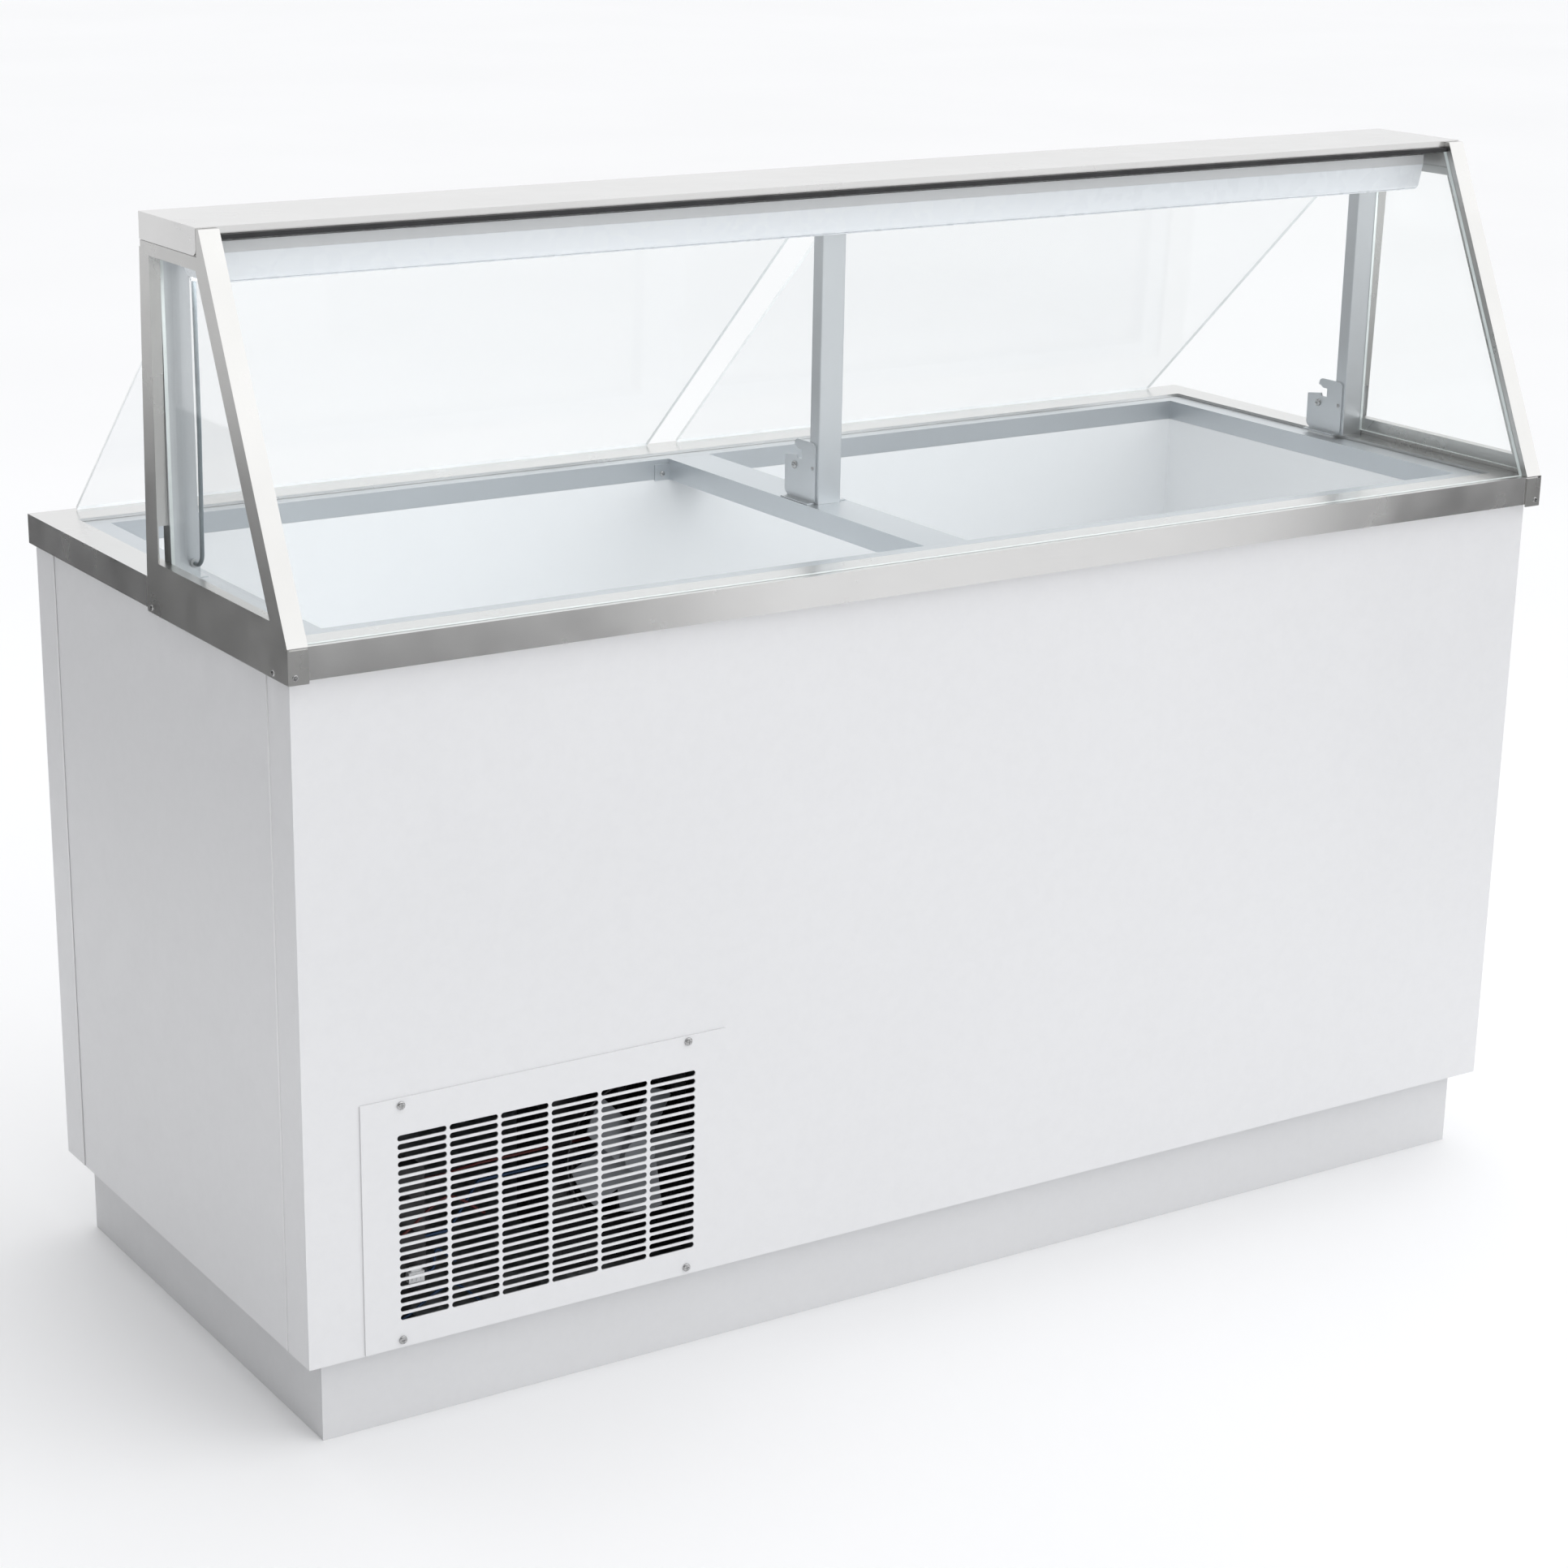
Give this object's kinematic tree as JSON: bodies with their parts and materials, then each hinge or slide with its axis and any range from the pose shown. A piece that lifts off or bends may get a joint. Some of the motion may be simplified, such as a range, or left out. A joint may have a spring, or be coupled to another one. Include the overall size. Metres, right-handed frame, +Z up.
{
  "type": "ice cream dipping cabinet",
  "caption": "Chest freezer for scooping ice cream: white cabinet on a recessed plinth, divided open well, stainless counter, glazed sneeze guard with lamp and clear rear lids.",
  "frame": {"origin": "on the floor, at the middle of the footprint", "axes": "+X to the customer's right, -Y towards the customer, +Z up"},
  "size_m": [1.7824, 0.74, 1.346],
  "materials": {
    "white_paint": "satin white powder coat",
    "plinth_paint": "satin white powder coat",
    "stainless": "brushed",
    "stainless_collar": "brushed",
    "liner_white": "smooth embossed white",
    "foam": "rigid foam",
    "copper_pipe": "dull copper",
    "galvanised": "dull galvanised",
    "compressor_black": "gloss black",
    "black_rubber": "matte",
    "grey_plastic": "moulded",
    "black_plastic": "moulded",
    "white_plastic": "moulded",
    "opal_plastic": "opal",
    "wire_blue": "insulation",
    "wire_red": "insulation",
    "cable_grey": "insulation",
    "clear_glass": "clear",
    "clear_lid": "clear",
    "screw_steel": "bright"
  },
  "bodies": {
    "cabinet": {"base_pan": "galvanised", "bay_lining": "galvanised", "cable_fittings": "grey_plastic", "canopy": "stainless", "compressor": "compressor_black", "compressor_grommets": "black_rubber", "condenser": "compressor_black", "control_pan": "white_paint", "counter_rim": "stainless", "discharge_pipe": "copper_pipe", "divider_beam": "stainless_collar", "divider_screws": "screw_steel", "electrical_box": "black_plastic", "end_frame_left": "stainless", "end_frame_right": "stainless", "evaporator_front": "copper_pipe", "evaporator_rear": "copper_pipe", "fan_motor": "compressor_black", "fan_shroud": "compressor_black", "filter_drier": "copper_pipe", "front_gasket": "black_rubber", "front_glass": "clear_glass", "front_panel": "white_paint", "front_rail": "stainless", "hinge_rail": "stainless", "hook_brackets": "stainless_collar", "insulation": "foam", "lamp_cable": "cable_grey", "lamp_tube": "opal_plastic", "left_panel": "white_paint", "light_diffuser": "opal_plastic", "light_housing": "white_paint", "light_switch_bezel": "black_plastic", "mains_gland": "black_plastic", "plinth_front": "plinth_paint", "plinth_left": "plinth_paint", "plinth_rear": "plinth_paint", "plinth_right": "plinth_paint", "posts": "stainless_collar", "power_switch_bezel": "black_plastic", "rear_panel": "white_paint", "rear_vent_cover": "white_paint", "right_panel": "white_paint", "side_glass_left": "clear_glass", "side_glass_right": "clear_glass", "small_screws": "screw_steel", "suction_pipe": "copper_pipe", "tank_collar": "stainless_collar", "tank_liner": "liner_white", "thermostat": "black_plastic", "vent_cover": "white_paint", "vent_screws": "screw_steel", "wire_blue": "wire_blue", "wire_red": "wire_red"},
    "left_lid": {"left_lid": "clear_lid"},
    "right_lid": {"right_lid": "clear_lid"},
    "fan": {"fan_blade": "grey_plastic"},
    "thermostat_knob": {"thermostat_knob": "black_plastic"},
    "light_switch": {"light_switch_rocker": "white_plastic"},
    "power_switch": {"power_switch_rocker": "white_plastic"}
  },
  "joints": [
    {"name": "left_lid_hinge", "type": "hinge", "parent": "cabinet", "child": "left_lid", "pos_m": [-0.426, -0.012, 1.302], "axis": [1, 0, 0], "range_deg": [0, 145]},
    {"name": "right_lid_hinge", "type": "hinge", "parent": "cabinet", "child": "right_lid", "pos_m": [0.426, -0.012, 1.302], "axis": [1, 0, 0], "range_deg": [0, 145]},
    {"name": "fan_spin", "type": "hinge", "parent": "cabinet", "child": "fan", "pos_m": [-0.43, -0.298, 0.252], "axis": [0, -1, 0], "continuous": true},
    {"name": "thermostat_turn", "type": "hinge", "parent": "cabinet", "child": "thermostat_knob", "pos_m": [-0.64, 0.346, 0.361], "axis": [0, 1, 0], "range_deg": [0, 270]},
    {"name": "light_switch_rock", "type": "hinge", "parent": "cabinet", "child": "light_switch", "pos_m": [-0.56, 0.339, 0.361], "axis": [1, 0, 0], "range_deg": [0, 12]},
    {"name": "power_switch_rock", "type": "hinge", "parent": "cabinet", "child": "power_switch", "pos_m": [-0.515, 0.339, 0.361], "axis": [1, 0, 0], "range_deg": [0, 12]}
  ]
}
